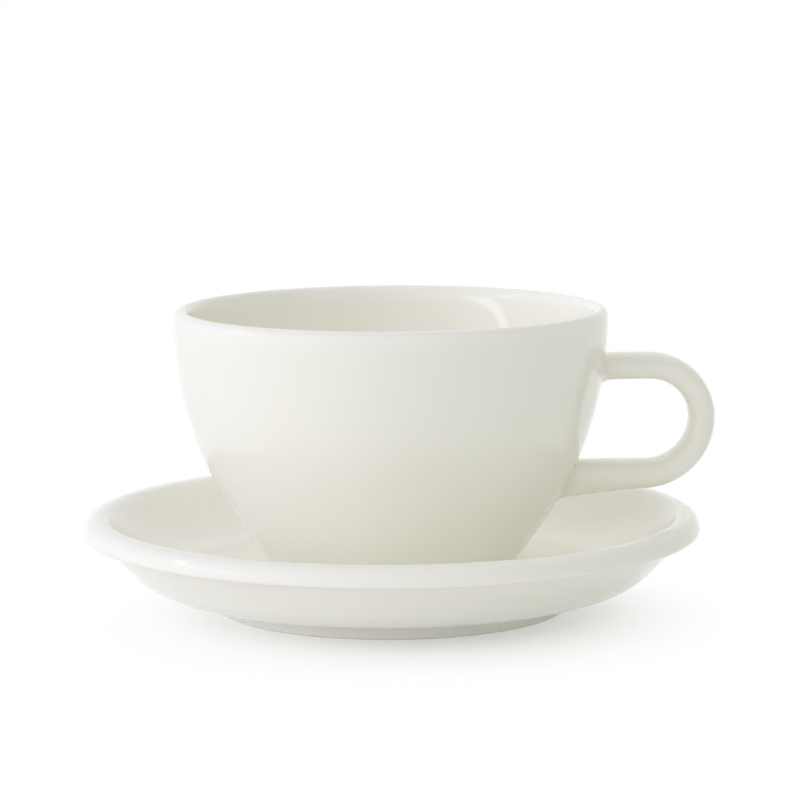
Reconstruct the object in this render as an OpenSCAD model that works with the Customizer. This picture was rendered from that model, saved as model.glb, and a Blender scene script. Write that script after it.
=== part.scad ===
// Latte cup on its saucer, in thick glazed porcelain. Millimetres, +Z up.
// The origin is on the table, at the centre of the saucer's foot ring. The handle points along +X.

/* [Saucer] */
// Diameter of the saucer over its lip
saucer_d = 150; // [130:1:175]
// Height of the saucer, from the table to the top of its lip
saucer_h = 23.2; // [21:0.1:28]
// Thickness of the saucer's side
saucer_wall = 4.6; // [3.5:0.1:5.5]
// Height of the upright band round the lip
lip_band = 5; // [4.4:0.1:6.5]
// How far the lip stands out over the saucer's side
lip_overhang = 3.5; // [2:0.1:5]
// Rounding of the lip's outer top edge
lip_round = 3.5; // [2:0.1:4]
// Rounding of the lip's lower edge
lip_lower_round = 1.2; // [0.4:0.1:2]
// Rounding of the lip's inner top edge
lip_inner_round = 3; // [1:0.1:4]
// Slope of the saucer's side, from level
side_slope = 46.5; // [38:0.5:52]
// Radius of the bend under the saucer's side
saucer_bend = 15.9; // [10:0.1:22]
// Radius of the bend inside the saucer, between its side and its floor
dish_bend = 30; // [12:0.5:36]
// Height of the saucer's underside above the table
underside_h = 5.1; // [4:0.1:6]

/* [Saucer foot and well] */
// Outer diameter of the saucer's foot ring
saucer_foot_d = 86.4; // [78:0.1:92]
// Width of the saucer's foot ring
saucer_foot_w = 5.2; // [3.5:0.1:8]
// Thickness of the saucer's bottom under the well
saucer_base = 5; // [4:0.1:6]
// How far the saucer's floor falls from its side to the well
floor_fall = 0.4; // [0:0.1:1]
// Depth of the well, where the cup stands, below the floor round it
well_depth = 0.9; // [0.4:0.1:1.5]
// Gap round the cup's foot in the well
well_gap = 2.4; // [1:0.1:5]

/* [Cup] */
// Diameter of the cup over its rim
rim_d = 105.2; // [94:0.1:116]
// Height of the cup, from its foot to its rim
cup_h = 64.8; // [58:0.1:76]
// Thickness of the cup's wall at its rim, which rounds it off
cup_wall = 3.7; // [2.8:0.1:4.6]
// Lean of the inner wall at the rim, from upright, which thickens the wall downwards
inner_lean = 5; // [0:0.1:8]
// Lean of the cup's lower flank, from upright
flank_lean = 36; // [30:0.5:42]
// Radius of the bowl's inner bottom
bowl_bend = 36; // [24:1:44]
// Thickness of the cup's bottom above its hollow foot
cup_floor = 4.2; // [3:0.1:6]
// Diameter of the cup's flank at the top of its foot ring
flank_d = 59.2; // [50:0.1:66]
// How far the cup's foot ring stands back from the flank
cup_foot_step = 0.8; // [0.3:0.1:2]
// Height of the cup's foot ring
cup_foot_h = 2; // [1.2:0.1:3]
// Width of the cup's foot ring
cup_foot_w = 4.6; // [3:0.1:7]

/* [Handle] */
// Height of the finger hole's upper edge above the cup's foot
hole_top = 47; // [42:0.1:50]
// Height of the finger hole
hole_h = 19.8; // [16:0.1:23]
// Distance from the cup's axis to the far end of the finger hole
hole_reach = 72.3; // [68:0.1:80]
// Radius of the finger hole's upper bend
upper_bend = 9.3; // [6:0.1:11]
// Thickness of the handle in the plane of its loop
handle_t = 6.4; // [5:0.1:8]
// Thickness of the handle where its lower arm's upper edge meets the bowl
lower_root_t = 8.8; // [7.5:0.1:12]
// Width of the handle across its loop
handle_w = 12; // [9:0.1:16]
// Squareness of the handle's section: 2 is an oval, more is squarer
section_power = 2.5; // [2:0.1:4]
// Thickness of the slip that joins the handle to the bowl
slip_t = 0.8; // [0.4:0.1:1.5]
// How far the slip stands out round the handle
slip_bead = 0.8; // [0.3:0.1:1.5]

/* [Edges] */
// Rounding of the edges of both foot rings
foot_round = 0.7; // [0.3:0.1:0.9]
// Rounding inside the corners of both foot rings
hollow_round = 1.4; // [0.5:0.1:1.8]
// Rounding of the well's two edges
well_round = 0.4; // [0.2:0.1:0.6]
// Rounding inside the corner under the lip
lip_corner_round = 0.8; // [0.3:0.1:1.5]
// Greatest gap between a true arc and the short straight edges that stand for it
arc_gap = 0.02; // [0.01:0.005:0.05]
// Points round the handle's section
section_points = 28; // [16:4:40]

/* [Hidden] */
glaze = "#efeee4";
handle_glaze = "#ebe9de";
slip = "#e6e4d8";

// Roundings that meet on one edge leave this much of it straight
edge_room = 1.02;
// The gap at an arc's straight edges is at most this share of its radius
arc_share = 0.1;
// How far the handle runs on into the slip and the bowl before it is cut to their surface
root_sink = 2;

// Saucer, worked out
saucer_r = saucer_d / 2;
lip_bottom = saucer_h - lip_band;
lip_root_r = saucer_r - lip_overhang;
side_normal = [-sin(side_slope), cos(side_slope)];
bend_corner_r = lip_root_r - (lip_bottom - underside_h) / tan(side_slope);
inner_point = [lip_root_r, lip_bottom] + side_normal * saucer_wall;
saucer_floor = underside_h + saucer_wall;
dish_corner_r = inner_point[0] - (inner_point[1] - saucer_floor) / tan(side_slope);
inner_lip_r = inner_point[0] + (saucer_h - inner_point[1]) / tan(side_slope);
saucer_foot_r = saucer_foot_d / 2;
well_edge = saucer_floor - floor_fall;
well_floor = well_edge - well_depth;
saucer_hollow = well_floor - saucer_base;

// Cup, worked out from its own foot
rim_r = rim_d / 2;
flank_r = flank_d / 2;
cup_foot_r = flank_r - cup_foot_step;
well_r = cup_foot_r + well_gap;
rim_round = cup_wall / 2;
rim_centre = [rim_r - rim_round, cup_h - rim_round];
flank_corner_z = cup_foot_h + (rim_r - flank_r) / tan(flank_lean);
flank_length = (rim_r - flank_r) / sin(flank_lean);
wall_tangent = min(rim_centre[1] - flank_corner_z, flank_length);
wall_r = wall_tangent / tan(flank_lean / 2);
wall_centre = [rim_r - wall_r, flank_corner_z + wall_tangent];
inner_wall_r = wall_r - cup_wall;
inner_centre = rim_centre + (rim_round + inner_wall_r) * [-cos(inner_lean), sin(inner_lean)];
inner_floor = cup_foot_h + cup_floor;
bend_room = inner_centre[1] - inner_floor;
widest_bend = (pow(inner_wall_r, 2) - pow(inner_centre[0], 2) - pow(bend_room, 2))
    / (2 * (inner_wall_r - bend_room));
inner_bend = min(bowl_bend, widest_bend);
inner_bend_centre = [
    inner_centre[0] + sqrt(pow(inner_wall_r - inner_bend, 2) - pow(bend_room - inner_bend, 2)),
    inner_floor + inner_bend
];
inner_turn = asin((inner_bend_centre[1] - inner_centre[1]) / (inner_wall_r - inner_bend));

// Handle, worked out from the cup's foot
lower_bend = hole_h - upper_bend;
hole_mid_z = hole_top - upper_bend;
hole_bottom = hole_top - hole_h;
upper_centre = [hole_reach - upper_bend, hole_mid_z];
lower_centre = [hole_reach - lower_bend, hole_mid_z];
root_depth = slip_t + root_sink;
upper_root_x = wall_at(hole_top) - root_depth;
lower_root_x = wall_at(hole_bottom - lower_root_t) - root_depth;
bend_steps = 14;
arm_steps = 8;
lower_run = lower_bend * PI / 2 + lower_centre[0] - wall_at(hole_bottom);
lower_slip_h = lower_t(lower_run + wall_at(hole_bottom) - wall_at(hole_bottom - lower_root_t));

// Points on an arc, close enough together that no straight edge leaves it by more than arc_gap
function arc(centre, r, from, to) =
    let (steps = max(2, ceil(abs(to - from) / (2 * acos(1 - min(arc_gap / r, arc_share))))))
    [for (i = [0:steps]) let (a = from + (to - from) * i / steps) centre + r * [cos(a), sin(a)]];

function unit(v) = v / norm(v);

// One corner of an outline, the i-th, as [point, way back, way on, half its angle]
function corner_shape(corners, i) =
    let (
        n = len(corners),
        p = [corners[i][0], corners[i][1]],
        back = [corners[(i + n - 1) % n][0], corners[(i + n - 1) % n][1]] - p,
        on = [corners[(i + 1) % n][0], corners[(i + 1) % n][1]] - p
    )
    [p, back, on, acos(max(-1, min(1, unit(back) * unit(on)))) / 2];

// Points that round one corner, as far as the edges that it shares with its neighbours allow
function round_corner(shape, r, back_share, on_share) =
    let (
        fitted = r * min(1, norm(shape[1]) / back_share, norm(shape[2]) / on_share),
        u = unit(shape[1]),
        v = unit(shape[2]),
        centre = shape[0] + unit(u + v) * fitted / sin(shape[3]),
        start = shape[0] + u * fitted / tan(shape[3]) - centre,
        end = shape[0] + v * fitted / tan(shape[3]) - centre,
        a = atan2(start[1], start[0]),
        turn = atan2(start[0] * end[1] - start[1] * end[0], start * end)
    )
    arc(centre, fitted, a, a + turn);

// An outline from corners written as [radius, height, rounding]
function rounded(corners) =
    let (
        n = len(corners),
        shapes = [for (i = [0:n - 1]) corner_shape(corners, i)],
        reach = [for (i = [0:n - 1]) corners[i][2] / tan(shapes[i][3])]
    )
    [
        for (i = [0:n - 1])
            if (corners[i][2] == 0) shapes[i][0]
            else each round_corner(shapes[i], corners[i][2],
                edge_room * (reach[i] + reach[(i + n - 1) % n]),
                edge_room * (reach[i] + reach[(i + 1) % n]))
    ];

// Outer radius of the cup's wall at a height above its foot
function wall_at(z) =
    z > wall_centre[1] ? rim_r :
    z < flank_top() ? flank_r + (z - cup_foot_h) * tan(flank_lean) :
    wall_centre[0] + sqrt(pow(wall_r, 2) - pow(wall_centre[1] - z, 2));

// Height at which the straight flank passes into the wall's arc
function flank_top() = wall_centre[1] - wall_r * sin(flank_lean);

// The cup's outer side from the foot ring up, moved outwards by a slip's thickness
function outer_side(out) = [
    [flank_r, cup_foot_h] + out * [cos(flank_lean), -sin(flank_lean)],
    each arc(wall_centre, wall_r + out, -flank_lean, 0)
];

// A rounded oval: one point of the handle's section, from -1 to 1 both ways
function oval(a) = [
    sign(cos(a)) * pow(abs(cos(a)), 2 / section_power),
    sign(sin(a)) * pow(abs(sin(a)), 2 / section_power)
];

// A station of the handle: [a point on the finger hole's edge, the way out from it, thickness]
function lower_t(run) = handle_t + (lower_root_t - handle_t) * pow(run / lower_run, 2);
function bend_station(centre, r, a, t) = [centre + r * [cos(a), sin(a)], [cos(a), sin(a)], t];
handle_stations = [
    [[upper_root_x, hole_top], [0, 1], handle_t],
    for (i = [0:bend_steps])
        bend_station(upper_centre, upper_bend, 90 - 90 * i / bend_steps, handle_t),
    for (i = [1:bend_steps])
        bend_station(lower_centre, lower_bend, -90 * i / bend_steps,
            lower_t(lower_bend * PI / 2 * i / bend_steps)),
    for (i = [1:arm_steps])
        let (x = lower_centre[0] + (lower_root_x - lower_centre[0]) * i / arm_steps)
        [[x, hole_bottom], [0, -1], lower_t(lower_run + wall_at(hole_bottom) - x)]
];

// One ring of the handle's surface, at one station
function handle_ring(station) = [
    for (k = [0:section_points - 1])
        let (
            o = oval(360 * k / section_points),
            p = station[0] + station[1] * station[2] / 2 * (1 + o[0])
        )
        [p[0], handle_w / 2 * o[1], p[1]]
];

// A closed tube through rings of points
module tube(rings) {
    count = len(rings[0]);
    last = len(rings) - 1;
    polyhedron(
        points = [for (ring = rings) each ring],
        faces = [
            [for (k = [0:count - 1]) k],
            [for (k = [count - 1:-1:0]) last * count + k],
            for (i = [0:last - 1], k = [0:count - 1])
                let (a = i * count + k, b = i * count + (k + 1) % count)
                each [[a, a + count, b], [b, a + count, b + count]]
        ]
    );
}

// The cup's outside as a full solid, moved outwards by a slip's thickness
module cup_outside(out) {
    side = outer_side(out);
    translate([0, 0, well_floor])
        rotate_extrude()
            polygon([[0, side[0][1]], each side, [rim_r + out, cup_h], [0, cup_h]]);
}

// The slip squeezed out between the bowl and one root of the handle, at the middle height z of the root
module slip_joint(z, root_h) {
    side_w = handle_w + 2 * slip_bead;
    side_h = root_h + 2 * slip_bead;
    color(slip)
        difference() {
            intersection() {
                cup_outside(slip_t);
                translate([0, 0, well_floor + z])
                    rotate([90, 0, 90])
                        linear_extrude(hole_reach)
                            polygon([
                                for (k = [0:section_points - 1])
                                    let (o = oval(360 * k / section_points))
                                    [side_w / 2 * o[1], side_h / 2 * o[0]]
                            ]);
            }
            cup_outside(0);
        }
}

module saucer() {
    color(glaze)
        rotate_extrude()
            polygon(rounded([
                [0, saucer_hollow, 0],
                [saucer_foot_r - saucer_foot_w, saucer_hollow, hollow_round],
                [saucer_foot_r - saucer_foot_w, 0, foot_round],
                [saucer_foot_r, 0, foot_round],
                [saucer_foot_r, underside_h, hollow_round],
                [bend_corner_r, underside_h, saucer_bend],
                [lip_root_r, lip_bottom, lip_corner_round],
                [saucer_r, lip_bottom, lip_lower_round],
                [saucer_r, saucer_h, lip_round],
                [inner_lip_r, saucer_h, lip_inner_round],
                [dish_corner_r, saucer_floor, dish_bend],
                [well_r, well_edge, well_round],
                [well_r, well_floor, well_round],
                [0, well_floor, 0]
            ]));
}

module cup_bowl() {
    foot_in = cup_foot_r - cup_foot_w;
    color(glaze)
        translate([0, 0, well_floor])
            rotate_extrude()
                polygon([
                    each rounded([
                        [0, cup_foot_h, 0],
                        [foot_in, cup_foot_h, hollow_round],
                        [foot_in, 0, foot_round],
                        [cup_foot_r, 0, foot_round],
                        [cup_foot_r, cup_foot_h, 0]
                    ]),
                    each outer_side(0),
                    each arc(rim_centre, rim_round, 0, 180 - inner_lean),
                    each arc(inner_centre, inner_wall_r, -inner_lean, inner_turn),
                    each arc(inner_bend_centre, inner_bend, inner_turn, -90),
                    [0, inner_floor]
                ]);
}

module cup_handle() {
    color(handle_glaze)
        difference() {
            translate([0, 0, well_floor])
                tube([for (station = handle_stations) handle_ring(station)]);
            cup_outside(slip_t);
        }
}

module upper_slip_joint() slip_joint(hole_top + handle_t / 2, handle_t);

module lower_slip_joint() slip_joint(hole_bottom - lower_slip_h / 2, lower_slip_h);

saucer();
cup_bowl();
cup_handle();
upper_slip_joint();
lower_slip_joint();
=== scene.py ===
"""A porcelain latte cup on its saucer, in cream glaze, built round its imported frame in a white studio.

Every piece is a closed grid of points worked out with numpy: an outline turned round the Z axis, or a
section carried along the handle. Lengths are in metres, +Z is up, and the handle points along +X.
"""

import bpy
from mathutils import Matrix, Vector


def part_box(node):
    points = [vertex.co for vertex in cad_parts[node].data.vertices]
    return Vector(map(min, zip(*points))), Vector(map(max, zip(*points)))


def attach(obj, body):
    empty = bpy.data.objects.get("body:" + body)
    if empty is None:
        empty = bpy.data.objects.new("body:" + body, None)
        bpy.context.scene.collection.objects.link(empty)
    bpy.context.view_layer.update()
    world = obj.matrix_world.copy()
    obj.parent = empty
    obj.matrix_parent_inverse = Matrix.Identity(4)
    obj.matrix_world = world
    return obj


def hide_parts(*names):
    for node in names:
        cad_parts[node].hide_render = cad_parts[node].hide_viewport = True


bl_info = {
    "name": "Porcelain Latte Cup",
    "version": (1, 0, 0),
    "blender": (4, 5, 0),
    "location": "View3D > Sidebar > Latte Cup",
    "description": "Builds a glazed latte cup and its saucer, with a studio to show them in",
    "category": "Add Mesh",
}

from types import SimpleNamespace

import bpy
import numpy as np
from bpy.props import FloatProperty, FloatVectorProperty, PointerProperty
from mathutils import Matrix, Vector

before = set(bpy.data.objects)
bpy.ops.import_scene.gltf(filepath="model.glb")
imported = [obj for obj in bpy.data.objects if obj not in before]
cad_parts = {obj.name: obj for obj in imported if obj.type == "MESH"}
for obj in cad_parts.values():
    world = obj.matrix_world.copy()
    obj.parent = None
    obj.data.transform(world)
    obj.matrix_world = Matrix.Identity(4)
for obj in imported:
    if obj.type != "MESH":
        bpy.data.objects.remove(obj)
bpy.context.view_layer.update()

MM = 0.001
SAUCER_LOW, SAUCER_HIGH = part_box("saucer")
CUP_LOW, CUP_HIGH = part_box("cup_bowl")
HANDLE_LOW, HANDLE_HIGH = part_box("cup_handle")

# Points round a turned piece, round the handle's section and along the handle
TURNED_POINTS = 256
SECTION_POINTS = 72
HANDLE_ROWS = 170
FILLET_ROWS = 18
# Longest steps along an outline, on arcs and on straight stretches, and the fewest points of an arc
ARC_STEP = 0.8 * MM
STRAIGHT_STEP = 2 * MM
ARC_POINTS = 9
# How far the glaze flows together along an outline, the bend at which it pools or thins out fully, and the
# height above the foot where it was wiped off
GLAZE_REACH = 1.3 * MM
FULL_BEND = 3 * MM
GLAZE_LINE = 0.1 * MM
# Halvings that find where the handle meets the bowl, how deep the slip's thin edge lies in the bowl's
# surface, and how deep the glaze pools in the slip's hollow
HALVINGS = 40
SLIP_EDGE = 0.01 * MM
SLIP_DEPTH = 0.6


def length(name, text, millimetres):
    """A length that the sidebar shows, written in millimetres here."""
    default = millimetres * MM
    return FloatProperty(name=name, description=text, default=default, min=0, unit="LENGTH", precision=5)


def angle(name, text, degrees):
    """An angle that the sidebar shows, written in degrees here."""
    return FloatProperty(name=name, description=text, default=np.radians(degrees), subtype="ANGLE")


def amount(name, text, value):
    """A plain number that the sidebar shows."""
    return FloatProperty(name=name, description=text, default=value, min=0)


def linear(hex_colour):
    """The linear red, green and blue of an sRGB colour written as six hex digits."""
    channels = np.array([int(hex_colour[i:i + 2], 16) for i in (0, 2, 4)]) / 255
    return tuple(np.where(channels <= 0.04045, channels / 12.92, ((channels + 0.055) / 1.055) ** 2.4))


def colour(name, text, hex_colour):
    """A colour that the sidebar shows, written as sRGB hex here."""
    default = linear(hex_colour)
    return FloatVectorProperty(name=name, description=text, default=default, min=0, max=1, subtype="COLOR")


class SaucerSizes(bpy.types.PropertyGroup):
    """Sizes of the saucer"""

    diameter: length("Diameter", "Diameter over the lip", (SAUCER_HIGH.y - SAUCER_LOW.y) / MM)
    height: length("Height", "From the table to the top of the lip", (SAUCER_HIGH.z - SAUCER_LOW.z) / MM)
    wall: length("Wall", "Thickness of the side", 4.6)
    lip_band: length("Lip band", "Height of the upright band round the lip", 5)
    lip_overhang: length("Lip overhang", "How far the lip stands out over the side", 3.5)
    lip_round: length("Lip rounding", "Rounding of the lip's outer top edge", 3.5)
    lip_lower_round: length("Lip lower rounding", "Rounding of the lip's lower edge", 1.2)
    lip_inner_round: length("Lip inner rounding", "Rounding of the lip's inner top edge", 3)
    lip_corner_round: length("Lip corner rounding", "Rounding inside the corner under the lip", 0.8)
    side_slope: angle("Side slope", "Slope of the side, from level", 46.5)
    bend: length("Bend", "Radius of the bend under the side", 15.9)
    dish_bend: length("Dish bend", "Radius of the bend inside, between side and floor", 30)
    underside: length("Underside", "Height of the underside above the table", 5.1)
    foot_diameter: length("Foot diameter", "Outer diameter of the foot ring", 86.4)
    foot_width: length("Foot width", "Width of the foot ring", 5.2)
    base: length("Base", "Thickness of the bottom under the well", 5)
    floor_fall: length("Floor fall", "How far the floor falls from the side to the well", 0.4)
    well_gap: length("Well gap", "Gap round the cup's foot in the well", 2.4)
    well_round: length("Well rounding", "Rounding of the well's two edges, filled out by glaze", 0.45)
    foot_round: length("Foot rounding", "Rounding of the foot ring's edges", 0.7)
    hollow_round: length("Hollow rounding", "Rounding inside the foot ring's corners", 1.4)


class CupSizes(bpy.types.PropertyGroup):
    """Sizes of the cup's bowl"""

    rim_diameter: length("Rim diameter", "Diameter over the rim", (CUP_HIGH.y - CUP_LOW.y) / MM)
    height: length("Height", "From the cup's foot to its rim", (CUP_HIGH.z - CUP_LOW.z) / MM)
    wall: length("Wall", "Thickness of the wall at the rim, which rounds it off", 3.7)
    inner_lean: angle("Inner lean", "Lean of the inner wall at the rim, from upright", 5)
    flank_lean: angle("Flank lean", "Lean of the lower flank, from upright", 36)
    bowl_bend: length("Bowl bend", "Radius of the bowl's inner bottom", 36)
    floor: length("Floor", "Thickness of the bottom above the hollow foot", 4.2)
    flank_diameter: length("Flank diameter", "Diameter of the flank at the top of the foot ring", 59.2)
    foot_step: length("Foot step", "How far the foot ring stands back from the flank", 0.8)
    foot_height: length("Foot height", "Height of the foot ring", 2)
    foot_width: length("Foot width", "Width of the foot ring", 4.6)
    foot_round: length("Foot rounding", "Rounding of the foot ring's edges", 0.7)
    step_round: length("Step rounding", "Rounding of the step over the foot ring", 0.35)
    hollow_round: length("Hollow rounding", "Rounding inside the foot ring's corner", 1.4)


class HandleSizes(bpy.types.PropertyGroup):
    """Sizes of the handle and of the slip that joins it to the bowl"""

    hole_top: length("Hole top", "Height of the finger hole's upper edge above the cup's foot", 47)
    hole_height: length("Hole height", "Height of the finger hole", 19.8)
    thickness: length("Thickness", "Thickness in the plane of the loop", 6.4)
    lower_root: length("Lower root", "Thickness where the lower arm meets the bowl", 8.8)
    upper_bend: length("Upper bend", "Radius of the finger hole's upper bend", 9.3)
    width: length("Width", "Width across the loop", (HANDLE_HIGH.y - HANDLE_LOW.y) / MM)
    squareness: amount("Squareness", "2 makes the section an oval, more makes it squarer", 2.5)
    slip_sink: length("Slip sink", "How far the slip bites into the bowl", 0.4)


class GlazeLook(bpy.types.PropertyGroup):
    """Colours of the porcelain"""

    cream: colour("Cream", "The glaze on open surfaces", "F4F3EB")
    pooled: colour("Pooled", "The glaze where it is thick, in inner corners", "EFECE0")
    thin: colour("Thin", "The glaze where it is thin, on outer edges", "F6F5F0")
    clay: colour("Clay", "The bare fired clay under the feet", "E6DFD0")
    scuffed: colour("Scuffed", "Grey wear on the bare clay", "C9C2B4")


class StudioLook(bpy.types.PropertyGroup):
    """Light of the studio"""

    left_glow: amount("Left glow", "Light from the surroundings on the left", 1.69)
    lamp_power: amount("Lamp power", "Factor on the power of all lamps", 1)
    cool: colour("Cool", "Tint of the light from the left", "F6F5FF")
    warm: colour("Warm", "Tint of the other lamps", "FEFFF6")
    strip: amount("Strip", "Brightness of the thin bent strip that the glaze mirrors", 3.4)
    floor: colour("Floor", "The pale floor", "F8F8F7")


GROUPS = {
    "latte_saucer": SaucerSizes,
    "latte_cup": CupSizes,
    "latte_handle": HandleSizes,
    "latte_glaze": GlazeLook,
    "latte_studio": StudioLook,
}


# Outlines

def arc(centre, radius, start, end):
    """Points centre + radius (cos a, sin a), with a from start to end."""
    count = max(ARC_POINTS, int(np.ceil(radius * abs(end - start) / ARC_STEP)) + 1)
    a = np.linspace(start, end, count)
    return np.asarray(centre) + radius * np.stack([np.cos(a), np.sin(a)], 1)


def unit(vectors):
    """Vectors of length 1 along the last axis."""
    return vectors / np.linalg.norm(vectors, axis=-1, keepdims=True)


def rounded(corners):
    """An open outline through corners (r, z, rounding), with each inner one an arc that touches its edges.

    With h half the angle between the edges, the arc's centre lies rounding / sin h from the corner on the
    bisector, and its ends lie rounding / tan h along the edges.
    """
    corners = np.asarray(corners, float)
    stretches = [corners[:1, :2]]
    for before, here, after in zip(corners[:-2], corners[1:-1], corners[2:]):
        back = unit(before[:2] - here[:2])
        on = unit(after[:2] - here[:2])
        half = np.arccos(back @ on) / 2
        centre = here[:2] + unit(back + on) * here[2] / np.sin(half)
        first = here[:2] + back * here[2] / np.tan(half) - centre
        last = here[:2] + on * here[2] / np.tan(half) - centre
        start = np.arctan2(first[1], first[0])
        turn = np.arctan2(first[0] * last[1] - first[1] * last[0], first @ last)
        stretches.append(arc(centre, here[2], start, start + turn))
    return np.concatenate([*stretches, corners[-1:, :2]])


def subdivided(outline):
    """The outline with points added evenly to every edge that is longer than STRAIGHT_STEP."""
    edges = np.diff(outline, axis=0)
    pieces = np.ceil(np.linalg.norm(edges, axis=1) / STRAIGHT_STEP).astype(int)
    number = np.arange(pieces.sum()) - np.repeat(np.cumsum(pieces) - pieces, pieces)
    share = np.repeat(edges / np.maximum(pieces, 1)[:, None], pieces, axis=0)
    points = np.repeat(outline[:-1], pieces, axis=0) + share * number[:, None]
    return np.concatenate([points, outline[-1:]])


def glaze_depth(outline):
    """How the glaze gathers along an outline: 1 where it pools in a corner, -1 where it thins on an edge.

    It is the turn of the outline, inwards positive, averaged with a bell curve of the glaze's own reach.
    """
    edges = np.diff(outline, axis=0)
    before, after = edges[:-1], edges[1:]
    turn = np.arctan2(before[:, 0] * after[:, 1] - before[:, 1] * after[:, 0], (before * after).sum(1))
    along = np.concatenate([[0], np.cumsum(np.linalg.norm(edges, axis=1))])
    bell = np.exp(-((along[:, None] - along[None, 1:-1]) / GLAZE_REACH) ** 2 / 2)
    curvature = bell @ -turn / (GLAZE_REACH * np.sqrt(2 * np.pi))
    return np.clip(curvature * FULL_BEND, -1, 1)


# Meshes

def grid_normals(rings):
    """Unit normals of a grid closed round its columns: the way round crossed with the way along."""
    around = np.roll(rings, -1, axis=1) - np.roll(rings, 1, axis=1)
    along = np.gradient(rings, axis=0, edge_order=2)
    return unit(np.cross(around, along))


def make_piece(name, rings, ends, normals, depth, materials, bare_rows=None):
    """A closed mesh object at the origin: rings[i, j] is a grid closed round j, with a fan to each end.

    depth is the glaze's depth at each ring, and bare_rows marks the stretches between rings with bare clay.
    """
    rows, columns = rings.shape[:2]
    index = 1 + np.arange(rows * columns).reshape(rows, columns)
    beside = np.roll(index, -1, axis=1)
    last = np.full(columns, rows * columns + 1)
    first_fan = np.stack([np.zeros(columns, int), beside[0], index[0]], 1)
    last_fan = np.stack([last, index[-1], beside[-1]], 1)
    quads = np.stack([index[:-1], beside[:-1], beside[1:], index[1:]], -1).reshape(-1, 4)
    points = np.concatenate([ends[:1], rings.reshape(-1, 3), ends[1:]])

    mesh = bpy.data.meshes.new(name)
    mesh.from_pydata(points.tolist(), [], first_fan.tolist() + quads.tolist() + last_fan.tolist())
    mesh.shade_smooth()
    facing = np.concatenate([normals[:1].mean(1), normals.reshape(-1, 3), normals[-1:].mean(1)])
    mesh.normals_split_custom_set_from_vertices(unit(facing).tolist())
    pool = mesh.attributes.new("glaze_depth", "FLOAT", "POINT")
    pool.data.foreach_set("value", np.concatenate([[0], np.repeat(depth, columns), [0]]).astype(np.float32))
    for material in materials:
        mesh.materials.append(material)
    if bare_rows is not None:
        slots = np.concatenate([np.zeros(columns), np.repeat(bare_rows, columns), np.zeros(columns)])
        mesh.polygons.foreach_set("material_index", slots.astype(np.int32))
    if mesh.validate():
        raise RuntimeError(f"the mesh of {name} has broken faces")
    piece = bpy.data.objects.new(name, mesh)
    bpy.context.scene.collection.objects.link(piece)
    return piece


def turned_piece(name, outline, foot, materials):
    """An outline (r, z) turned round the axis: (r cos a, r sin a, z).

    foot is the height that it stands on. Below the glaze line over it the clay is bare.
    """
    outline = subdivided(outline)
    a = np.linspace(0, 2 * np.pi, TURNED_POINTS, endpoint=False)
    r, z = outline[1:-1, :1], outline[1:-1, 1:]
    rings = np.stack([r * np.cos(a), r * np.sin(a), z + 0 * a], -1)
    along = unit(np.gradient(outline, axis=0))[1:-1]
    normals = np.stack([along[:, 1:] * np.cos(a), along[:, 1:] * np.sin(a), -along[:, :1] + 0 * a], -1)
    ends = np.array([[0, 0, outline[0, 1]], [0, 0, outline[-1, 1]]])
    bare = (outline[1:-2, 1] + outline[2:-1, 1]) / 2 < foot + GLAZE_LINE
    return make_piece(name, rings, ends, normals, glaze_depth(outline)[1:-1], materials, bare)


def fit_to_frame(piece, body, node):
    """Lets the piece stand for its CAD node: hangs it on that node's body and hides the node."""
    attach(piece, body)
    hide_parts(node)


# Shapes

def saucer_outline(saucer, cup):
    """From the hollow under the saucer over its foot ring, side and lip to the well."""
    lip_r = saucer.diameter / 2
    lip_low = saucer.height - saucer.lip_band
    side_r = lip_r - saucer.lip_overhang
    slope = np.tan(saucer.side_slope)
    inner_r = side_r - np.sin(saucer.side_slope) * saucer.wall
    inner_z = lip_low + np.cos(saucer.side_slope) * saucer.wall
    floor = saucer.underside + saucer.wall
    foot_r = saucer.foot_diameter / 2
    foot_in = foot_r - saucer.foot_width
    well_floor = CUP_LOW.z
    well_r = cup.flank_diameter / 2 - cup.foot_step + saucer.well_gap
    hollow = well_floor - saucer.base
    return rounded([
        (0, hollow, 0),
        (foot_in, hollow, saucer.hollow_round),
        (foot_in, 0, saucer.foot_round),
        (foot_r, 0, saucer.foot_round),
        (foot_r, saucer.underside, saucer.hollow_round),
        (side_r - (lip_low - saucer.underside) / slope, saucer.underside, saucer.bend),
        (side_r, lip_low, saucer.lip_corner_round),
        (lip_r, lip_low, saucer.lip_lower_round),
        (lip_r, saucer.height, saucer.lip_round),
        (inner_r + (saucer.height - inner_z) / slope, saucer.height, saucer.lip_inner_round),
        (inner_r - (inner_z - floor) / slope, floor, saucer.dish_bend),
        (well_r, floor - saucer.floor_fall, saucer.well_round),
        (well_r, well_floor, saucer.well_round),
        (0, well_floor, 0),
    ])


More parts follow.
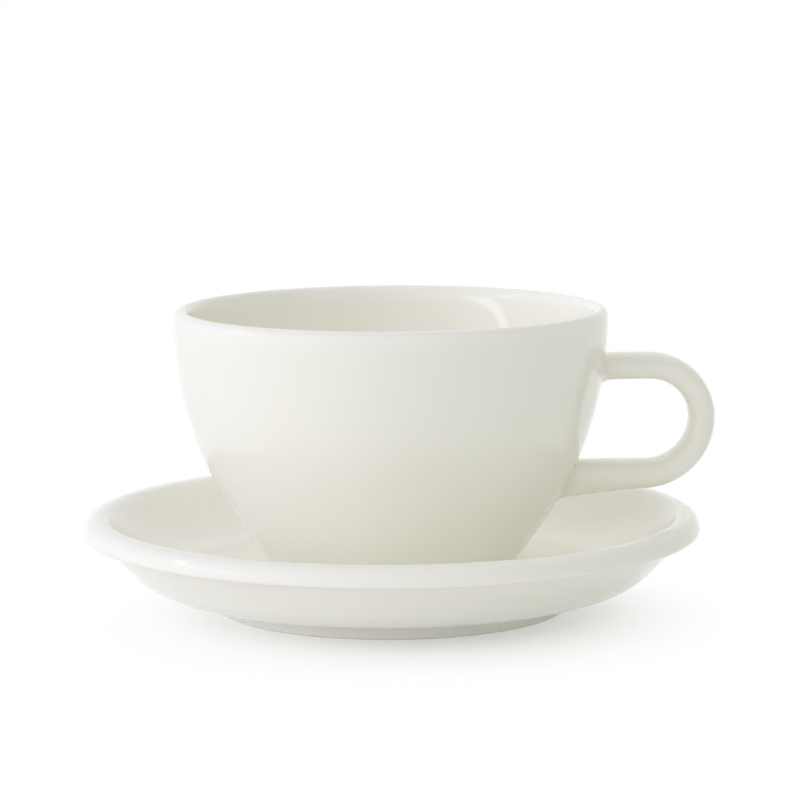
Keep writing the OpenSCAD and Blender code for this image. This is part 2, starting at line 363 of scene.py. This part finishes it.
def bowl_shape(cup):
    """The arcs of the bowl's wall, in the frame: the outer one touches the flank and an upright at the rim.

    The inner wall leans out at the rim and passes into the bend of the bottom, which touches the floor.
    """
    base = CUP_LOW.z
    shape = SimpleNamespace(base=base)
    shape.rim_r = cup.rim_diameter / 2
    shape.flank_r = cup.flank_diameter / 2
    shape.foot_top = base + cup.foot_height
    shape.rim_round = cup.wall / 2
    shape.rim_centre = np.array([shape.rim_r - shape.rim_round, base + cup.height - shape.rim_round])
    corner_z = shape.foot_top + (shape.rim_r - shape.flank_r) / np.tan(cup.flank_lean)
    shape.wall_r = (shape.rim_centre[1] - corner_z) / np.tan(cup.flank_lean / 2)
    shape.wall_centre = np.array([shape.rim_r - shape.wall_r, shape.rim_centre[1]])
    shape.inner_r = shape.wall_r - cup.wall
    lean = np.array([-np.cos(cup.inner_lean), np.sin(cup.inner_lean)])
    shape.inner_centre = shape.rim_centre + (shape.rim_round + shape.inner_r) * lean
    shape.inner_floor = shape.foot_top + cup.floor
    bend_z = shape.inner_floor + cup.bowl_bend
    rise = bend_z - shape.inner_centre[1]
    span = shape.inner_r - cup.bowl_bend
    shape.bend_centre = np.array([shape.inner_centre[0] + np.sqrt(span ** 2 - rise ** 2), bend_z])
    shape.inner_turn = np.arcsin(rise / span)
    return shape


def bowl_outline(cup):
    """From the hollow under the cup over its foot ring, flank and rim to the middle of its floor."""
    shape = bowl_shape(cup)
    foot_r = shape.flank_r - cup.foot_step
    foot_in = foot_r - cup.foot_width
    flank_normal = np.array([np.cos(cup.flank_lean), -np.sin(cup.flank_lean)])
    flank_top = shape.wall_centre + shape.wall_r * flank_normal
    outside = rounded([
        (0, shape.foot_top, 0),
        (foot_in, shape.foot_top, cup.hollow_round),
        (foot_in, shape.base, cup.foot_round),
        (foot_r, shape.base, cup.foot_round),
        (foot_r, shape.foot_top, cup.step_round),
        (shape.flank_r, shape.foot_top, cup.step_round),
        (*flank_top, 0),
    ])
    return np.concatenate([
        outside[:-1],
        arc(shape.wall_centre, shape.wall_r, -cup.flank_lean, 0),
        arc(shape.rim_centre, shape.rim_round, 0, np.pi - cup.inner_lean)[1:],
        arc(shape.inner_centre, shape.inner_r, -cup.inner_lean, shape.inner_turn)[1:],
        arc(shape.bend_centre, cup.bowl_bend, shape.inner_turn, -np.pi / 2)[1:],
        [(0, shape.inner_floor)],
    ])


def wall_radius(cup, z):
    """Outer radius of the bowl at heights z: the straight flank, and above it the arc of the wall."""
    shape = bowl_shape(cup)
    flank = shape.flank_r + (z - shape.foot_top) * np.tan(cup.flank_lean)
    drop = np.clip(shape.wall_centre[1] - z, 0, shape.wall_r * np.sin(cup.flank_lean))
    wall = shape.wall_centre[0] + np.sqrt(shape.wall_r ** 2 - drop ** 2)
    return np.where(z < shape.wall_centre[1] - shape.wall_r * np.sin(cup.flank_lean), flank, wall)


def section():
    """The handle's section, from -1 at the finger hole to 1 outside, and its sides, as a rounded oval."""
    power = 2 / bpy.context.scene.latte_handle.squareness
    a = np.linspace(0, 2 * np.pi, SECTION_POINTS, endpoint=False)
    across = np.sign(np.cos(a)) * np.abs(np.cos(a)) ** power
    sideways = -np.sign(np.sin(a)) * np.abs(np.sin(a)) ** power
    return across, sideways


def handle_surface(handle, cup, run, across, sideways):
    """Points of the handle at lengths run along the finger hole's edge, measured from the hole's far end.

    The edge is a quarter circle up and a straight arm where run is negative, and the same down where it is
    positive. The section stands on it, and grows with the square of run towards the lower root.
    """
    lower_bend = handle.hole_height - handle.upper_bend
    reach = HANDLE_HIGH.x - handle.thickness
    middle = CUP_LOW.z + handle.hole_top - handle.upper_bend
    hole_bottom = CUP_LOW.z + handle.hole_top - handle.hole_height
    bend = np.where(run < 0, handle.upper_bend, lower_bend)
    turn = np.clip(run / bend, -np.pi / 2, np.pi / 2)
    arm = np.maximum(np.abs(run) - bend * np.pi / 2, 0)
    lower_run = lower_bend * np.pi / 2 + reach - lower_bend - wall_radius(cup, hole_bottom)
    growth = np.square(np.maximum(run, 0) / lower_run)
    thickness = handle.thickness + (handle.lower_root - handle.thickness) * growth
    out = bend + thickness / 2 * (1 + across)
    x = reach - bend + out * np.cos(turn) - arm
    z = middle - out * np.sin(turn)
    return np.stack([x, handle.width / 2 * sideways + 0 * run, z], -1)


def root_run(handle, cup, across, sideways, end):
    """Where each line along the handle meets the bowl's outside, as a run, found by halving.

    It starts from the hole's far end, which is outside, and three hole heights on, which is inside.
    """
    outside = np.zeros_like(across)
    inside = np.full_like(across, end * handle.hole_height * 3)
    for _ in range(HALVINGS):
        run = (outside + inside) / 2
        point = handle_surface(handle, cup, run, across, sideways)
        clear = np.hypot(point[..., 0], point[..., 1]) > wall_radius(cup, point[..., 2])
        outside = np.where(clear, run, outside)
        inside = np.where(clear, inside, run)
    return (outside + inside) / 2


# The slip's fillet at each root: its leg along the handle and its leg along the bowl, in millimetres, and
# how far its curve is drawn to the corner. Each has a value at the finger hole, at the sides and outside
UPPER_FILLET = ((8.0, 4.5, 1.2), (2.6, 4.2, 0.9), (2.6, 1.1, 1.0))
LOWER_FILLET = ((1.0, 3.0, 2.2), (0.8, 2.6, 1.6), (1.0, 1.0, 1.0))


def round_section(values, across):
    """A value that passes smoothly from the finger hole over the sides to the outside of the section."""
    hole, side, outer = values
    return side + (hole - side) * np.clip(-across, 0, 1) ** 2 + (outer - side) * np.clip(across, 0, 1) ** 2


def root_shape(handle, cup, end):
    """One root of the handle: end is -1 for the upper and 1 for the lower one."""
    across, sideways = section()
    handle_leg, bowl_leg, draw = UPPER_FILLET if end < 0 else LOWER_FILLET
    corner_run = root_run(handle, cup, across, sideways, end)
    start_run = corner_run - end * MM * round_section(handle_leg, across)
    along_bowl = MM * round_section(bowl_leg, across)
    return across, sideways, corner_run, start_run, along_bowl, round_section(draw, across)


def handle_rings(handle, cup):
    """The handle between its two fillets, with rows shared out evenly along each of its lines."""
    across, sideways, _, upper, _, _ = root_shape(handle, cup, -1)
    lower = root_shape(handle, cup, 1)[3]
    share = np.linspace(0, 1, HANDLE_ROWS)[:, None]
    return handle_surface(handle, cup, upper + (lower - upper) * share, across, sideways)


def bowl_normals(cup, points):
    """Outward normals of the bowl's outside at points: (x / r, y / r, minus the slope of r in z)."""
    step = 0.01 * MM
    r = np.hypot(points[:, 0], points[:, 1])
    slope = (wall_radius(cup, points[:, 2] + step) - wall_radius(cup, points[:, 2] - step)) / (2 * step)
    return unit(np.stack([points[:, 0] / r, points[:, 1] / r, -slope], 1))


def on_bowl(cup, points, sink):
    """Points moved level to the bowl's outside, or sunk into it."""
    r = (wall_radius(cup, points[:, 2]) - sink) / np.hypot(points[:, 0], points[:, 1])
    return np.stack([points[:, 0] * r, points[:, 1] * r, points[:, 2]], 1)


def slip_rings(handle, cup, end):
    """The slip at one root: weighted arcs from the handle by the corner to the bowl, and a step in.

    With A on the handle, C the corner, B on the bowl and w the draw, an arc is the mean of A, C and B with
    the weights (1 - t)^2, 2 w t (1 - t) and t^2.
    """
    across, sideways, corner_run, start_run, along_bowl, draw = root_shape(handle, cup, end)
    start = handle_surface(handle, cup, start_run, across, sideways)
    corner = handle_surface(handle, cup, corner_run, across, sideways)
    tangent = np.roll(corner, -1, axis=0) - np.roll(corner, 1, axis=0)
    away = unit(np.cross(tangent, bowl_normals(cup, corner)))
    away *= np.sign(((corner - corner.mean(0)) * away).sum(1).mean())
    edge = on_bowl(cup, corner + away * along_bowl[:, None], SLIP_EDGE)
    t = np.linspace(0, 1, FILLET_ROWS)[:, None, None]
    pull = 2 * t * (1 - t) * draw[:, None]
    band = ((1 - t) ** 2 * start + pull * corner + t ** 2 * edge) / ((1 - t) ** 2 + pull + t ** 2)
    sunk = on_bowl(cup, edge, handle.slip_sink)
    return band, sunk


# Finishes

# Sockets of the colour Mix node, and how strongly glaze and fired clay bend light
FACTOR, FROM, TO, MIXED = 0, 6, 7, 2
CERAMIC_IOR = 1.5


def add_node(tree, kind, sockets=None, **settings):
    """Adds a node with its settings, and fills its sockets with plain values or links."""
    made = tree.nodes.new(kind)
    for name, value in settings.items():
        setattr(made, name, value)
    for name, value in (sockets or {}).items():
        if isinstance(value, bpy.types.NodeSocket):
            tree.links.new(value, made.inputs[name])
        else:
            made.inputs[name].default_value = value
    return made


def per_metre(millimetres):
    """The scale of a noise whose marks are this far apart."""
    return 1 / (millimetres * MM)


def new_material(name):
    """An empty material and its node tree."""
    material = bpy.data.materials.new(name)
    material.use_nodes = True
    material.node_tree.nodes.clear()
    return material, material.node_tree


def glazed_porcelain(look):
    """Porcelain dipped in a clear cream glaze and fired glossy.

    The eye sees a deep soft cream that is a little yellower where the glaze pooled in corners and a little
    whiter where it ran thin over edges, and mirrored lights that waver with the glaze's slow ripple.
    """
    material, tree = new_material("glazed_porcelain")
    place = add_node(tree, "ShaderNodeTexCoord").outputs["Object"]
    depth = add_node(tree, "ShaderNodeAttribute", attribute_name="glaze_depth").outputs["Fac"]
    noise = add_node(tree, "ShaderNodeTexNoise", {"Vector": place, "Scale": per_metre(26), "Detail": 3.0})
    clouds = noise.outputs["Fac"]
    pooled = add_node(tree, "ShaderNodeMath", {0: clouds, 1: 0.5, 2: depth}, operation="MULTIPLY_ADD")
    gathered = add_node(tree, "ShaderNodeMapRange", {
        "Value": pooled.outputs[0], "From Min": 0.15, "From Max": 1.1})
    thinned = add_node(tree, "ShaderNodeMapRange", {"Value": depth, "From Min": 0.0, "From Max": -0.9})
    body = add_node(tree, "ShaderNodeMix", {
        FACTOR: gathered.outputs[0], FROM: (*look.cream, 1), TO: (*look.pooled, 1)}, data_type="RGBA")
    tone = add_node(tree, "ShaderNodeMix", {
        FACTOR: thinned.outputs[0], FROM: body.outputs[MIXED], TO: (*look.thin, 1)}, data_type="RGBA")
    gloss = add_node(tree, "ShaderNodeMapRange", {
        "Value": clouds, "From Min": 0.3, "From Max": 0.7, "To Min": 0.05, "To Max": 0.08})
    ripple = add_node(tree, "ShaderNodeTexNoise", {"Vector": place, "Scale": per_metre(9), "Detail": 1.0})
    relief = add_node(tree, "ShaderNodeBump", {
        "Strength": 1.0, "Distance": 0.012 * MM, "Height": ripple.outputs["Fac"]})
    surface = add_node(tree, "ShaderNodeBsdfPrincipled", {
        "Base Color": tone.outputs[MIXED], "Roughness": gloss.outputs[0], "IOR": CERAMIC_IOR,
        "Normal": relief.outputs[0]})
    add_node(tree, "ShaderNodeOutputMaterial", {"Surface": surface.outputs[0]})
    return material


def bare_clay(look):
    """Fired porcelain clay without glaze, wiped clean before firing so that the foot doesn't stick.

    The eye sees a dry, chalky ring, a little warmer than the glaze, with fine grit and grey scuffs from
    tables. The grit is drawn at 0.5 mm, coarser than real, so that it shows.
    """
    material, tree = new_material("bare_porcelain_clay")
    place = add_node(tree, "ShaderNodeTexCoord").outputs["Object"]
    grit = add_node(tree, "ShaderNodeTexNoise", {"Vector": place, "Scale": per_metre(0.5), "Detail": 2.0})
    scuffs = add_node(tree, "ShaderNodeTexNoise", {"Vector": place, "Scale": per_metre(5), "Detail": 5.0})
    worn = add_node(tree, "ShaderNodeMapRange", {
        "Value": scuffs.outputs["Fac"], "From Min": 0.5, "From Max": 0.72})
    tone = add_node(tree, "ShaderNodeMix", {
        FACTOR: worn.outputs[0], FROM: (*look.clay, 1), TO: (*look.scuffed, 1)}, data_type="RGBA")
    relief = add_node(tree, "ShaderNodeBump", {
        "Strength": 0.6, "Distance": 0.04 * MM, "Height": grit.outputs["Fac"]})
    surface = add_node(tree, "ShaderNodeBsdfPrincipled", {
        "Base Color": tone.outputs[MIXED], "Roughness": 0.8, "IOR": CERAMIC_IOR,
        "Normal": relief.outputs[0]})
    add_node(tree, "ShaderNodeOutputMaterial", {"Surface": surface.outputs[0]})
    return material


def finish(name, maker):
    """A finish by name, made on first use."""
    return bpy.data.materials.get(name) or maker(bpy.context.scene.latte_glaze)


def glaze():
    """The one glaze of all pieces."""
    return finish("glazed_porcelain", glazed_porcelain)


def clay():
    """The one bare clay of both feet."""
    return finish("bare_porcelain_clay", bare_clay)


def seen_rays(tree):
    """1 for rays from the camera, a mirror or glass, and 0 for rays that only carry light."""
    rays = add_node(tree, "ShaderNodeLightPath").outputs
    mirrored = add_node(tree, "ShaderNodeMath", {
        0: rays["Is Camera Ray"], 1: rays["Is Glossy Ray"]}, operation="MAXIMUM")
    seen = add_node(tree, "ShaderNodeMath", {
        0: mirrored.outputs[0], 1: rays["Is Transmission Ray"]}, operation="MAXIMUM")
    return seen.outputs[0]


def pale_floor(look):
    """Matt white card that keeps the object's shadow, and passes into plain white for the eye away from it.

    From below it is clear, so that the feet can be looked at.
    """
    material, tree = new_material("matt_white_card")
    place = add_node(tree, "ShaderNodeTexCoord").outputs["Object"]
    distance = add_node(tree, "ShaderNodeVectorMath", {0: place, 1: SHADOW_CENTRE}, operation="DISTANCE")
    clear = add_node(tree, "ShaderNodeMapRange", {
        "Value": distance.outputs["Value"], "From Min": SHADOW_NEAR, "From Max": SHADOW_FAR,
        "To Min": SHADOW_VEIL}, interpolation_type="SMOOTHSTEP")
    share = add_node(tree, "ShaderNodeMath", {
        0: clear.outputs[0], 1: seen_rays(tree)}, operation="MULTIPLY")
    card = add_node(tree, "ShaderNodeBsdfDiffuse", {"Color": (*look.floor, 1)})
    white = add_node(tree, "ShaderNodeEmission", {"Color": (1, 1, 1, 1), "Strength": 1.0})
    above = add_node(tree, "ShaderNodeMixShader", {
        0: share.outputs[0], 1: card.outputs[0], 2: white.outputs[0]})
    below = add_node(tree, "ShaderNodeNewGeometry").outputs["Backfacing"]
    nothing = add_node(tree, "ShaderNodeBsdfTransparent")
    shown = add_node(tree, "ShaderNodeMixShader", {0: below, 1: above.outputs[0], 2: nothing.outputs[0]})
    add_node(tree, "ShaderNodeOutputMaterial", {"Surface": shown.outputs[0]})
    return material


def white_surroundings(look):
    """A world that is plain white to the eye and lights the object from the left: left_glow max(0, -x)."""
    world = bpy.data.worlds.new("white_surroundings")
    world.use_nodes = True
    tree = world.node_tree
    tree.nodes.clear()
    direction = add_node(tree, "ShaderNodeTexCoord").outputs["Generated"]
    left = add_node(tree, "ShaderNodeVectorMath", {0: direction, 1: (-1, 0, 0)}, operation="DOT_PRODUCT")
    facing = add_node(tree, "ShaderNodeMath", {0: left.outputs["Value"], 1: 0.0}, operation="MAXIMUM")
    strength = add_node(tree, "ShaderNodeMath", {
        0: facing.outputs[0], 1: look.left_glow}, operation="MULTIPLY")
    light = add_node(tree, "ShaderNodeBackground", {
        "Color": (*look.cool, 1), "Strength": strength.outputs[0]})
    white = add_node(tree, "ShaderNodeBackground", {"Color": (1, 1, 1, 1), "Strength": 1.0})
    shown = add_node(tree, "ShaderNodeMixShader", {
        0: seen_rays(tree), 1: light.outputs[0], 2: white.outputs[0]})
    add_node(tree, "ShaderNodeOutputWorld", {"Surface": shown.outputs[0]})
    return world


# Studio

# The camera, worked out from the rims and the foot in the 800 x 800 frame
PHOTO_SIZE = 800
FOCAL_PIXELS = 3297
CAMERA_DISTANCE = 0.8043
CAMERA_ELEVATION = np.radians(8.696)
CAMERA_ROLL = np.radians(-0.323)
AIM_POINT = np.array([0, 0, 40 * MM])
AIM_PIXEL = (391.2, 442.3)
SENSOR_WIDTH = 36
CLIP_START = 0.05
# Soft lamps: azimuth and elevation in degrees, power in watts, tint and whether they cast a shadow
LAMPS = {
    "left_front_lamp": (-150, 15, 1.49, "cool", True),
    "front_lamp": (-90, 40, 0.52, "warm", True),
    "front_fill": (-90, 10, 2.87, "warm", False),
    "right_lamp": (0, 60, 1.95, "warm", True),
    "right_fill": (0, 20, 1.56, "warm", False),
    "back_lamp": (60, 40, 2.09, "warm", True),
    "back_fill": (90, 40, 1.64, "warm", False),
}
LAMP_SIZE = 0.8
# The floor's rings, in metres, the points round them, and how far the floor lies under the foot ring
FLOOR_RADII = (0, 0.1, 0.3, 1, 4, 12)
FLOOR_POINTS = 97
FLOOR_GAP = 0.02 * MM
# The middle of the shadow on the floor, the distances from it where the floor starts and ends to clear, and
# how much of the white already lies over the darkest shadow
SHADOW_CENTRE = (5 * MM, -14.5 * MM, 0)
SHADOW_NEAR = 5 * MM
SHADOW_FAR = 81 * MM
SHADOW_VEIL = 0.12
# The mirrored strip, laid out round a point on the bowl's far wall: its distance, and angles in degrees
STRIP_CENTRE = np.array([20, 44, 70]) * MM
STRIP_DISTANCE = 0.5
STRIP_START = -108
STRIP_SWEEP = 62
STRIP_LEVEL = 3.4
STRIP_RISE = 16
STRIP_POWER = 6.5
STRIP_HALF_WIDTH = 0.9
STRIP_WIDENING = 1.3
STRIP_END = 1.1
STRIP_ROWS = 80


def add_camera():
    """A long lens in front of the cup, turned until the aim point falls on its pixel."""
    data = bpy.data.cameras.new("camera")
    data.sensor_width = SENSOR_WIDTH
    data.lens = SENSOR_WIDTH * FOCAL_PIXELS / PHOTO_SIZE
    data.clip_start = CLIP_START
    camera = bpy.data.objects.new("camera", data)
    bpy.context.scene.collection.objects.link(camera)
    back = np.array([0, -np.cos(CAMERA_ELEVATION), np.sin(CAMERA_ELEVATION)])
    yaw = np.arctan((PHOTO_SIZE / 2 - AIM_PIXEL[0]) / FOCAL_PIXELS)
    pitch = CAMERA_ELEVATION - np.arctan((AIM_PIXEL[1] - PHOTO_SIZE / 2) / FOCAL_PIXELS)
    nod = Matrix.Rotation(np.pi / 2 - pitch, 4, "X")
    turn = Matrix.Rotation(-yaw, 4, "Z") @ nod @ Matrix.Rotation(CAMERA_ROLL, 4, "Z")
    camera.matrix_world = Matrix.Translation(AIM_POINT + CAMERA_DISTANCE * back) @ turn
    bpy.context.scene.camera = camera


def towards(azimuth, elevation):
    """Unit vectors at angles in degrees: azimuth round from +X, elevation up from level."""
    a, e = np.radians(azimuth), np.radians(elevation)
    return np.stack([np.cos(a) * np.cos(e), np.sin(a) * np.cos(e), np.sin(e) + 0 * a], -1)


def add_lamp(name, look):
    """A square soft light 1 m from the aim point, that faces it and doesn't show in the glaze.

    A lamp without shadow only fills.
    """
    azimuth, elevation, power, tint, shadow = LAMPS[name]
    data = bpy.data.lights.new(name, "AREA")
    data.size = LAMP_SIZE
    data.energy = power * look.lamp_power
    data.color = getattr(look, tint)
    data.use_shadow = shadow
    lamp = bpy.data.objects.new(name, data)
    bpy.context.scene.collection.objects.link(lamp)
    away = Vector(towards(azimuth, elevation))
    turn = away.to_track_quat("Z", "Y").to_matrix().to_4x4()
    lamp.matrix_world = Matrix.Translation(Vector(AIM_POINT) + away) @ turn
    lamp.visible_camera = lamp.visible_glossy = False


def add_sheet(name, points, material):
    """A sheet over the grid points[i, j] with the given material, linked to the scene."""
    index = np.arange(points[..., 0].size).reshape(points.shape[:2])
    quads = np.stack([index[:-1, :-1], index[1:, :-1], index[1:, 1:], index[:-1, 1:]], -1).reshape(-1, 4)
    mesh = bpy.data.meshes.new(name)
    mesh.from_pydata(points.reshape(-1, 3).tolist(), [], quads.tolist())
    mesh.materials.append(material)
    sheet = bpy.data.objects.new(name, mesh)
    bpy.context.scene.collection.objects.link(sheet)
    return sheet


def add_floor(look):
    """A flat disc far wider than the view, just under the foot ring: (r cos a, r sin a, z)."""
    r = np.array(FLOOR_RADII)[:, None]
    a = np.linspace(0, 2 * np.pi, FLOOR_POINTS)
    points = np.stack([r * np.cos(a), r * np.sin(a), 0 * r * a - FLOOR_GAP], -1)
    add_sheet("floor", points, pale_floor(look))


def glowing_card(name, strength):
    """A card that glows evenly."""
    material, tree = new_material(name)
    glow = add_node(tree, "ShaderNodeEmission", {"Color": (1, 1, 1, 1), "Strength": strength})
    add_node(tree, "ShaderNodeOutputMaterial", {"Surface": glow.outputs[0]})
    return material


def mirrored_only(sheet):
    """Lets a sheet show in the glaze and nowhere else, so that it neither lights nor hides anything."""
    sheet.visible_camera = sheet.visible_diffuse = sheet.visible_transmission = sheet.visible_shadow = False


def add_strip(look):
    """A thin bright strip round the front left that bends up at its end, as the bowl's far wall mirrors it.

    Seen from that wall its azimuth is start - sweep u and its elevation is level + rise u^power, with u
    from 0 to STRIP_END. Its half width grows with u^2, and is laid off square to its run.
    """
    u = np.linspace(0, STRIP_END, STRIP_ROWS)[:, None]
    azimuth = STRIP_START - STRIP_SWEEP * u
    elevation = STRIP_LEVEL + STRIP_RISE * u ** STRIP_POWER
    level_share = np.cos(np.radians(elevation))
    lean = np.arctan2(STRIP_RISE * STRIP_POWER * u ** (STRIP_POWER - 1), STRIP_SWEEP * level_share)
    side = (STRIP_HALF_WIDTH + STRIP_WIDENING * u ** 2) * np.array([-1, 1])
    edges = towards(azimuth + side * np.sin(lean) / level_share, elevation + side * np.cos(lean))
    points = STRIP_CENTRE + STRIP_DISTANCE * edges
    mirrored_only(add_sheet("strip", points, glowing_card("bright_strip", look.strip)))


class LATTE_OT_studio(bpy.types.Operator):
    """Adds the camera, the soft lights, the mirrored strip, the white surroundings and the floor"""

    bl_idname = "latte.studio"
    bl_label = "Add studio"

    def execute(self, context):
        look = context.scene.latte_studio
        add_camera()
        for name in LAMPS:
            add_lamp(name, look)
        add_strip(look)
        context.scene.world = white_surroundings(look)
        add_floor(look)
        context.scene.view_settings.view_transform = "Standard"
        return {"FINISHED"}


class LATTE_OT_saucer(bpy.types.Operator):
    """Adds the saucer with its lip, well and foot ring"""

    bl_idname = "latte.saucer"
    bl_label = "Add saucer"

    def execute(self, context):
        outline = saucer_outline(context.scene.latte_saucer, context.scene.latte_cup)
        piece = turned_piece("glazed_saucer", outline, 0, [glaze(), clay()])
        fit_to_frame(piece, "saucer", "saucer")
        return {"FINISHED"}


class LATTE_OT_bowl(bpy.types.Operator):
    """Adds the cup's bowl with its rim and foot ring"""

    bl_idname = "latte.bowl"
    bl_label = "Add cup bowl"

    def execute(self, context):
        outline = bowl_outline(context.scene.latte_cup)
        piece = turned_piece("glazed_cup_bowl", outline, CUP_LOW.z, [glaze(), clay()])
        fit_to_frame(piece, "cup", "cup_bowl")
        return {"FINISHED"}


class LATTE_OT_handle(bpy.types.Operator):
    """Adds the loop handle between its two fillets"""

    bl_idname = "latte.handle"
    bl_label = "Add cup handle"

    def execute(self, context):
        rings = handle_rings(context.scene.latte_handle, context.scene.latte_cup)
        ends = np.stack([rings[0].mean(0), rings[-1].mean(0)])
        depth = np.zeros(len(rings))
        piece = make_piece("glazed_cup_handle", rings, ends, grid_normals(rings), depth, [glaze()])
        fit_to_frame(piece, "cup", "cup_handle")
        return {"FINISHED"}


class LATTE_OT_slip_joints(bpy.types.Operator):
    """Adds the slip that joins both roots of the handle to the bowl"""

    bl_idname = "latte.slip_joints"
    bl_label = "Add slip joints"

    def execute(self, context):
        for node, end in (("upper_slip_joint", -1), ("lower_slip_joint", 1)):
            band, sunk = slip_rings(context.scene.latte_handle, context.scene.latte_cup, end)
            rings = np.concatenate([band, sunk[None]])
            normals = grid_normals(band)
            normals = np.concatenate([normals, normals[-1:]])
            depth = np.append(np.sin(np.linspace(0, np.pi, len(band))), 0) * SLIP_DEPTH
            if end < 0:
                rings, normals, depth = rings[::-1], -normals[::-1], depth[::-1]
            ends = np.stack([rings[0].mean(0), rings[-1].mean(0)])
            piece = make_piece("glazed_" + node, rings, ends, normals, depth, [glaze()])
            fit_to_frame(piece, "cup", node)
        return {"FINISHED"}


class LATTE_PT_sidebar(bpy.types.Panel):
    """Lists the steps that build the cup and its studio"""

    bl_idname = "LATTE_PT_sidebar"
    bl_label = "Latte Cup"
    bl_space_type = "VIEW_3D"
    bl_region_type = "UI"
    bl_category = "Latte Cup"

    def draw(self, context):
        for operator in OPERATORS:
            self.layout.operator(operator.bl_idname)
        for group in GROUPS:
            self.layout.prop(context.scene, group)


OPERATORS = (LATTE_OT_studio, LATTE_OT_saucer, LATTE_OT_bowl, LATTE_OT_handle, LATTE_OT_slip_joints)
CLASSES = (*GROUPS.values(), *OPERATORS, LATTE_PT_sidebar)


def register():
    """Registers the classes and hangs the groups of settings on the scene."""
    for made in CLASSES:
        bpy.utils.register_class(made)
    for name, group in GROUPS.items():
        setattr(bpy.types.Scene, name, PointerProperty(type=group))


def unregister():
    """Takes back what register did."""
    for name in GROUPS:
        delattr(bpy.types.Scene, name)
    for made in reversed(CLASSES):
        bpy.utils.unregister_class(made)


def main():
    """Registers the classes, then builds the studio and every piece."""
    register()
    bpy.ops.latte.studio()
    bpy.ops.latte.saucer()
    bpy.ops.latte.bowl()
    bpy.ops.latte.handle()
    bpy.ops.latte.slip_joints()


if __name__ == "__main__":
    main()
